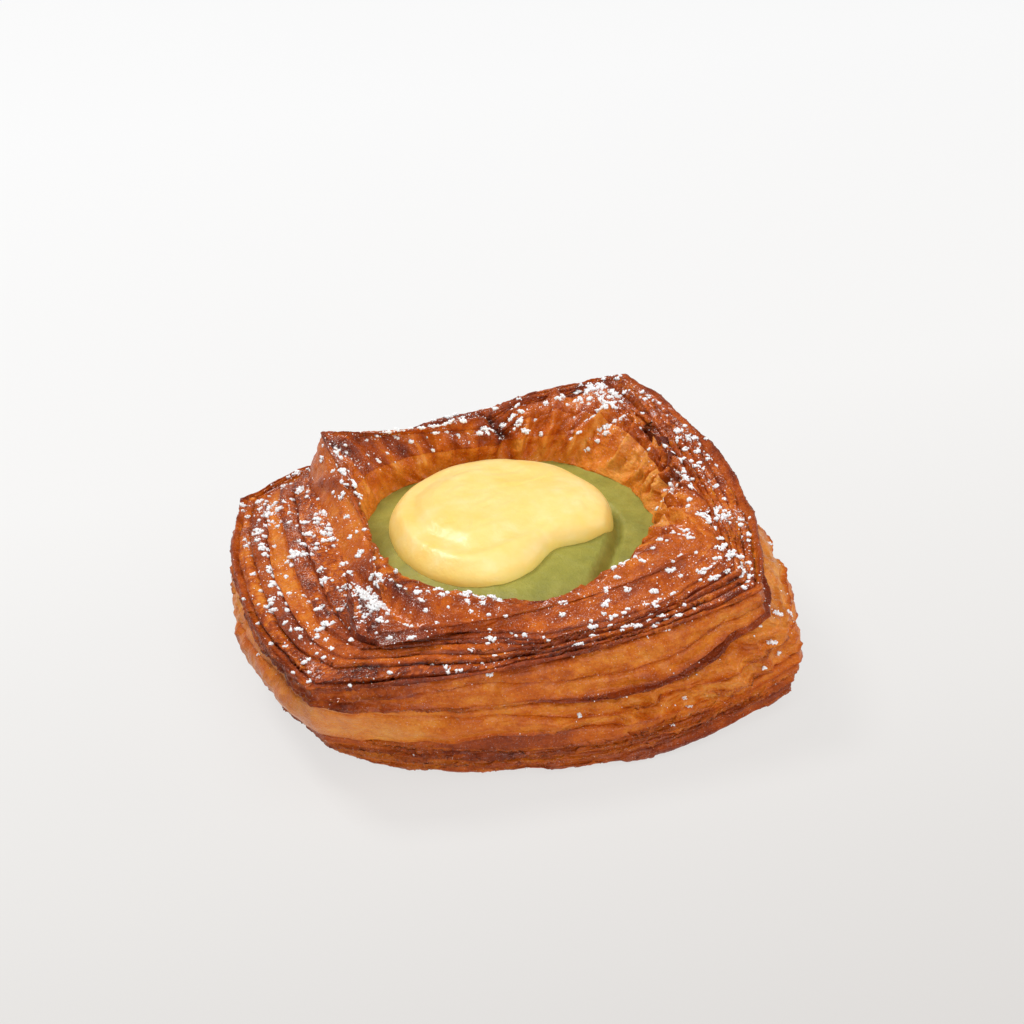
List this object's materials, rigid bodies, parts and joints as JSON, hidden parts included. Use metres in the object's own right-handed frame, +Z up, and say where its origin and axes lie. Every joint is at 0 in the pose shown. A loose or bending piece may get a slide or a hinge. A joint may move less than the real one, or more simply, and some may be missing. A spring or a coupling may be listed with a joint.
{
  "type": "danish pastry",
  "caption": "Square danish pastry of layered dough folded up round a shallow well, filled with green cream and a swirl of yellow custard.",
  "frame": {"origin": "middle of the underside's bounding box, on the surface that the pastry stands on", "axes": "+Z up; -Y towards the front side; +X to the right along the front side"},
  "size_m": [0.115, 0.091, 0.0405],
  "materials": {
    "baked_dough": "satin",
    "pistachio_cream": "satin",
    "custard": "satin"
  },
  "bodies": {
    "root": {"dough_case": "baked_dough", "pistachio_cream": "pistachio_cream", "custard_swirl": "custard"}
  },
  "joints": []
}
